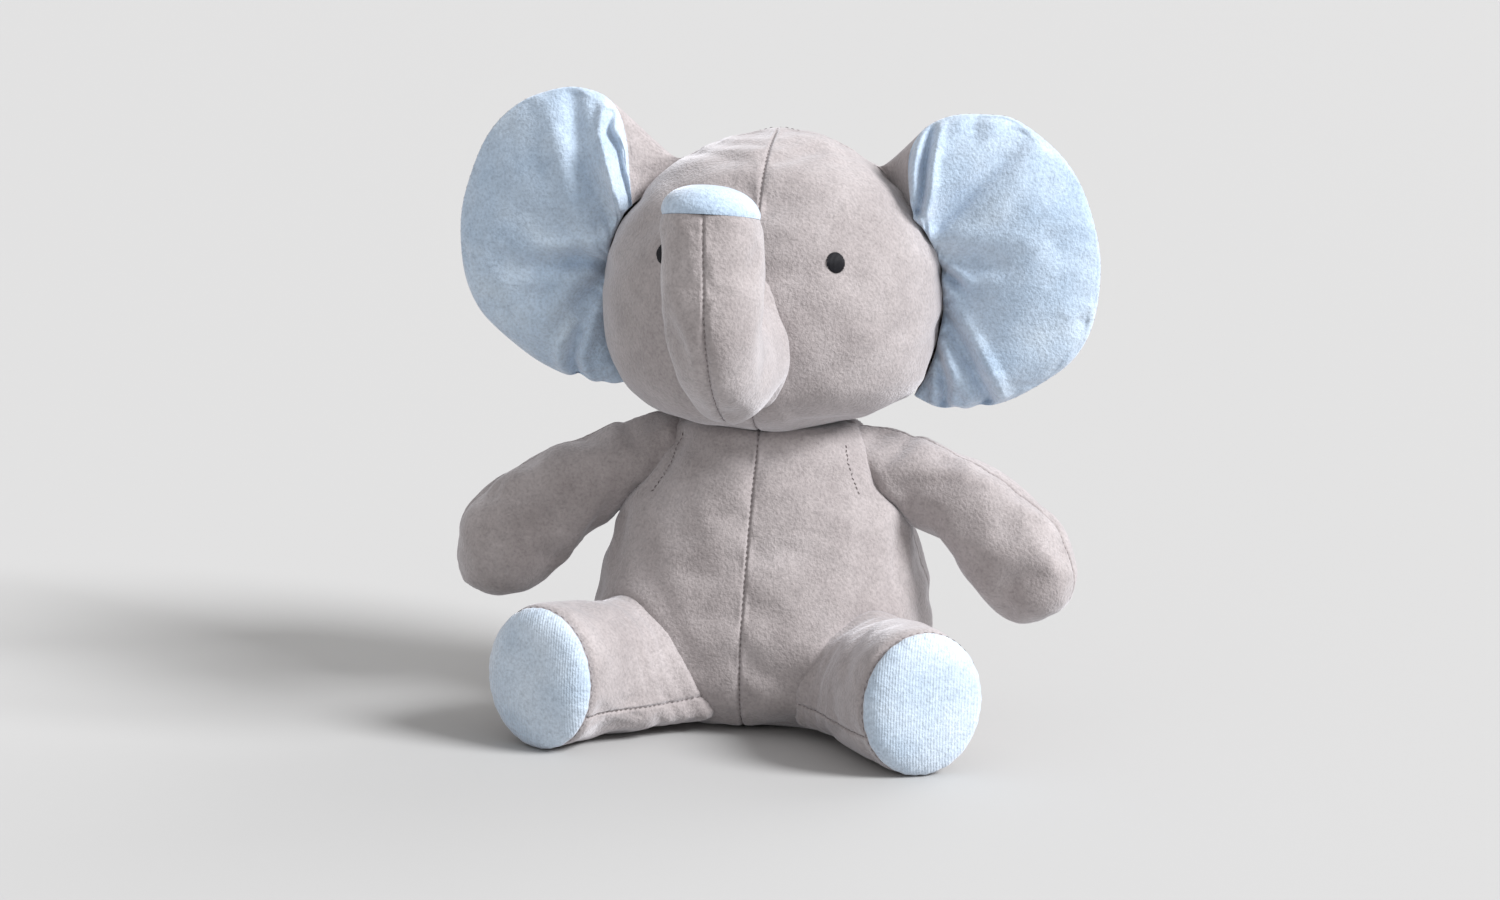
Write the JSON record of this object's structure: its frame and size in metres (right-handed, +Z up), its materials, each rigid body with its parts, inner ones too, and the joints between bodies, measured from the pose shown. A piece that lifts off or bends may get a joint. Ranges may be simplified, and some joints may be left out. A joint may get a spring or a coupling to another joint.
{
  "type": "stuffed elephant",
  "caption": "Sitting stuffed elephant with a raised trunk, round ears, and sewn arms, legs and head that each flex on the torso.",
  "frame": {"origin": "centre of the toy's box, front to back and side to side, on the plane that it sits on", "axes": "+X towards the toy's left side, -Y out of its face, +Z up through the head"},
  "size_m": [0.264, 0.2021, 0.2469],
  "materials": {
    "grey_velour": "short pile",
    "blue_velour": "short pile",
    "stuffing": "loose fibre",
    "eye_thread": "satin stitch"
  },
  "bodies": {
    "torso": {"torso_front_left": "grey_velour", "torso_front_right": "grey_velour", "torso_back_left": "grey_velour", "torso_back_right": "grey_velour", "seat_panel": "grey_velour", "torso_filling": "stuffing"},
    "neck": {"neck_wad": "stuffing"},
    "head": {"face_left": "grey_velour", "face_right": "grey_velour", "head_back_left": "grey_velour", "head_back_right": "grey_velour", "head_filling": "stuffing", "eye_left": "eye_thread", "eye_right": "eye_thread"},
    "trunk": {"trunk_left": "grey_velour", "trunk_right": "grey_velour", "trunk_tip": "blue_velour", "trunk_filling": "stuffing"},
    "ear_left": {"ear_lining_left": "blue_velour", "ear_back_left": "grey_velour", "ear_filling_left": "stuffing"},
    "ear_right": {"ear_lining_right": "blue_velour", "ear_back_right": "grey_velour", "ear_filling_right": "stuffing"},
    "arm_left": {"arm_front_left": "grey_velour", "arm_back_left": "grey_velour", "arm_filling_left": "stuffing"},
    "arm_right": {"arm_front_right": "grey_velour", "arm_back_right": "grey_velour", "arm_filling_right": "stuffing"},
    "leg_left": {"leg_upper_left": "grey_velour", "leg_lower_left": "grey_velour", "sole_left": "blue_velour", "leg_filling_left": "stuffing"},
    "leg_right": {"leg_upper_right": "grey_velour", "leg_lower_right": "grey_velour", "sole_right": "blue_velour", "leg_filling_right": "stuffing"},
    "tail": {"tail": "grey_velour"}
  },
  "joints": [
    {"name": "neck_turn", "type": "hinge", "parent": "torso", "child": "neck", "pos_m": [0, 0.0194, 0.1189], "axis": [0, 0, 1], "range_deg": [-20, 20], "stiffness_Nm_per_rad": 0.2},
    {"name": "head_nod", "type": "hinge", "parent": "neck", "child": "head", "pos_m": [0, 0.0194, 0.1189], "axis": [1, 0, 0], "range_deg": [-10, 10], "stiffness_Nm_per_rad": 0.6},
    {"name": "trunk_lift", "type": "hinge", "parent": "head", "child": "trunk", "pos_m": [0, -0.0456, 0.15112], "axis": [1, 0, 0], "range_deg": [-8, 25], "stiffness_Nm_per_rad": 0.12},
    {"name": "ear_left_flap", "type": "hinge", "parent": "head", "child": "ear_left", "pos_m": [0.068, 0.0254, 0.18592], "axis": [0, 0, -1], "range_deg": [-25, 25], "stiffness_Nm_per_rad": 0.03},
    {"name": "ear_right_flap", "type": "hinge", "parent": "head", "child": "ear_right", "pos_m": [-0.068, 0.0254, 0.18592], "axis": [0, 0, 1], "range_deg": [-25, 25], "stiffness_Nm_per_rad": 0.03},
    {"name": "arm_left_swing", "type": "hinge", "parent": "torso", "child": "arm_left", "pos_m": [0.0542, 0.0194, 0.0985], "axis": [0, 0, -1], "range_deg": [-25, 25], "stiffness_Nm_per_rad": 0.05},
    {"name": "arm_right_swing", "type": "hinge", "parent": "torso", "child": "arm_right", "pos_m": [-0.0542, 0.0194, 0.0985], "axis": [0, 0, 1], "range_deg": [-25, 25], "stiffness_Nm_per_rad": 0.05},
    {"name": "leg_left_lift", "type": "hinge", "parent": "torso", "child": "leg_left", "pos_m": [0.05, -0.0276, 0.0258], "axis": [-0.9063, -0.4226, 0], "range_deg": [0, 30], "stiffness_Nm_per_rad": 0.08},
    {"name": "leg_right_lift", "type": "hinge", "parent": "torso", "child": "leg_right", "pos_m": [-0.05, -0.0276, 0.0258], "axis": [-0.9063, 0.4226, 0], "range_deg": [0, 30], "stiffness_Nm_per_rad": 0.08},
    {"name": "tail_swing", "type": "hinge", "parent": "torso", "child": "tail", "pos_m": [0, 0.0764, 0.03], "axis": [0, 0, 1], "range_deg": [-30, 30], "stiffness_Nm_per_rad": 0.005}
  ]
}
